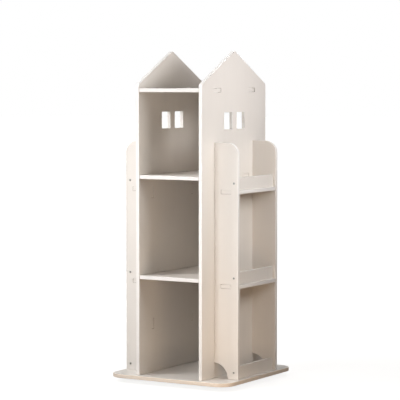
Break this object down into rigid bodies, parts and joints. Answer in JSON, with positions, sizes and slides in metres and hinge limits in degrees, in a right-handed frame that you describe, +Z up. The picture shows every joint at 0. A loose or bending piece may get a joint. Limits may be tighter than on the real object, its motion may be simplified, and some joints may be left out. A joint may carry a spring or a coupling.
{
  "type": "revolving bookcase",
  "caption": "Floor-standing revolving bookcase: house-shaped tower of white slotted boards, open bays and side racks for picture books, turning on a hidden ball-bearing turntable.",
  "frame": {"origin": "on the floor, on the turning axis, at the middle of the base", "axes": "+Z up along the turning axis; the open bays face -Y (front) and +Y (back), the picture-book racks face +X (right) and -X (left)"},
  "size_m": [0.45, 0.45, 1.0759],
  "materials": {
    "white_board": "satin warm-white paint on board",
    "base_board": "satin warm-white paint, tan rounded edge",
    "screw_steel": "zinc-plated steel",
    "turntable_aluminium": "turned aluminium",
    "ball_steel": "polished steel",
    "cage_plastic": "moulded nylon",
    "floor_steel": "grey powder coat",
    "pad_rubber": "moulded black rubber"
  },
  "bodies": {
    "floor_base": {"lower_race_ring": "turntable_aluminium", "retaining_ring": "turntable_aluminium", "race_screws": "screw_steel", "floor_ring": "floor_steel", "floor_pads": "pad_rubber"},
    "ball_cage": {"bearing_balls": "ball_steel", "ball_cage": "cage_plastic"},
    "tower": {"left_gable": "white_board", "right_gable": "white_board", "top_shelf": "white_board", "upper_shelf": "white_board", "lower_shelf": "white_board", "right_front_wing": "white_board", "right_rear_wing": "white_board", "left_front_wing": "white_board", "left_rear_wing": "white_board", "right_upper_side_shelf": "white_board", "right_lower_side_shelf": "white_board", "left_upper_side_shelf": "white_board", "left_lower_side_shelf": "white_board", "right_upper_lip": "white_board", "right_lower_lip": "white_board", "right_bottom_lip": "white_board", "left_upper_lip": "white_board", "left_lower_lip": "white_board", "left_bottom_lip": "white_board", "base_plate": "base_board", "lip_screws": "screw_steel", "gable_screws": "screw_steel", "wing_screws": "screw_steel", "inner_ring_screws": "screw_steel", "turntable_inner_ring": "turntable_aluminium"}
  },
  "joints": [
    {"name": "tower_spin", "type": "hinge", "parent": "floor_base", "child": "tower", "pos_m": [0, 0, 0.01], "axis": [0, 0, 1], "continuous": true},
    {"name": "cage_spin", "type": "hinge", "parent": "floor_base", "child": "ball_cage", "pos_m": [0, 0, 0.01], "axis": [0, 0, 1], "continuous": true}
  ],
  "couplings": [
    {"joint": "cage_spin", "follows": "tower_spin", "ratio": 0.4915}
  ]
}
